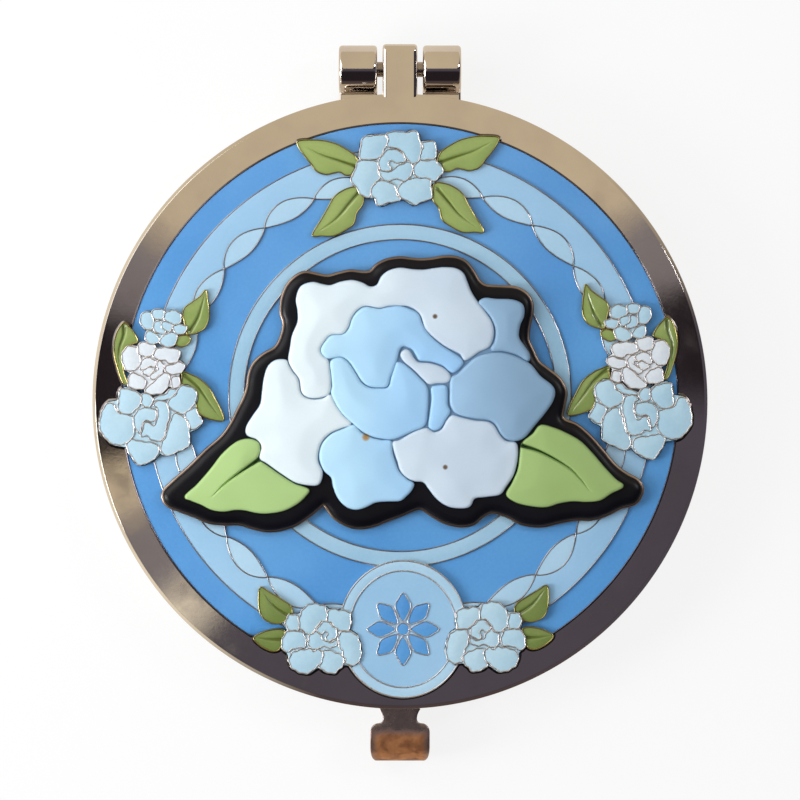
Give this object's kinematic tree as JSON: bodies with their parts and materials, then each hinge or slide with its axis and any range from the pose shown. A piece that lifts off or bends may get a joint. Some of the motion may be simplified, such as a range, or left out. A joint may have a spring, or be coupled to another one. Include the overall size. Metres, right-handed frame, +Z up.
{
  "type": "compact mirror",
  "caption": "Round folding pocket mirror: hinged metal case with a mirror in each half, springy latch tongue, and a lid with an enamelled floral plaque and a moulded flower badge.",
  "frame": {"origin": "centre of the base's flat resting face, lid closed", "axes": "+Z up through the lid, +Y towards the hinge, -Y towards the latch, +X to the right in the picture"},
  "size_m": [0.065, 0.0761, 0.0101],
  "materials": {
    "case_metal": "polished dark nickel plate",
    "pin_metal": "dark plain steel",
    "latch_metal": "nickel plate worn to copper on the bend",
    "plaque_metal": "dark nickel plate, struck",
    "badge_metal": "tan plated metal edge",
    "mirror_glass": "silvered glass",
    "foam": "adhesive foam",
    "blue_enamel": "glossy mid-blue enamel",
    "pale_enamel": "glossy pale blue enamel",
    "blossom_enamel": "glossy pale aqua enamel",
    "white_enamel": "glossy white enamel",
    "green_enamel": "glossy leaf-green enamel",
    "black_vinyl": "soft moulded black vinyl",
    "blue_vinyl": "soft moulded pale blue vinyl",
    "white_vinyl": "soft moulded white vinyl",
    "green_vinyl": "soft moulded green vinyl"
  },
  "bodies": {
    "base": {"base_shell": "case_metal", "hinge_pin": "pin_metal", "base_mirror_pad": "foam", "base_mirror": "mirror_glass"},
    "lid": {"lid_shell": "case_metal", "lid_mirror_pad": "foam", "lid_mirror": "mirror_glass", "plaque_plate": "plaque_metal", "ground_enamel": "blue_enamel", "ornament_mounts": "plaque_metal", "garland_band_enamel": "pale_enamel", "ribbon_enamel": "pale_enamel", "inner_ring_enamel": "pale_enamel", "blossom_pale_enamel": "blossom_enamel", "blossom_white_enamel": "white_enamel", "leaf_enamel": "green_enamel", "medallion_ring_enamel": "pale_enamel", "medallion_disc_enamel": "pale_enamel", "medallion_rosette_enamel": "blue_enamel", "badge_pad": "foam", "badge_plate": "badge_metal", "badge_backing": "black_vinyl", "petal_heart": "blue_vinyl", "petal_inner_white": "white_vinyl", "petal_hood": "blue_vinyl", "petal_right": "blue_vinyl", "petal_sliver": "blue_vinyl", "petal_lower_right": "white_vinyl", "petal_lower_left": "blue_vinyl", "petal_left": "white_vinyl", "petal_crest": "white_vinyl", "petal_upper_right": "blue_vinyl", "badge_leaf_left": "green_vinyl", "badge_leaf_right": "green_vinyl"},
    "latch": {"latch_tongue": "latch_metal"}
  },
  "joints": [
    {"name": "lid_hinge", "type": "hinge", "parent": "base", "child": "lid", "pos_m": [0, 0.03525, 0.00465], "axis": [-1, 0, 0], "range_deg": [0, 180]},
    {"name": "latch_flex", "type": "hinge", "parent": "lid", "child": "latch", "pos_m": [0, -0.0325, 0.0055], "axis": [-1, 0, 0], "range_deg": [0, 6], "stiffness_Nm_per_rad": 0.05}
  ]
}
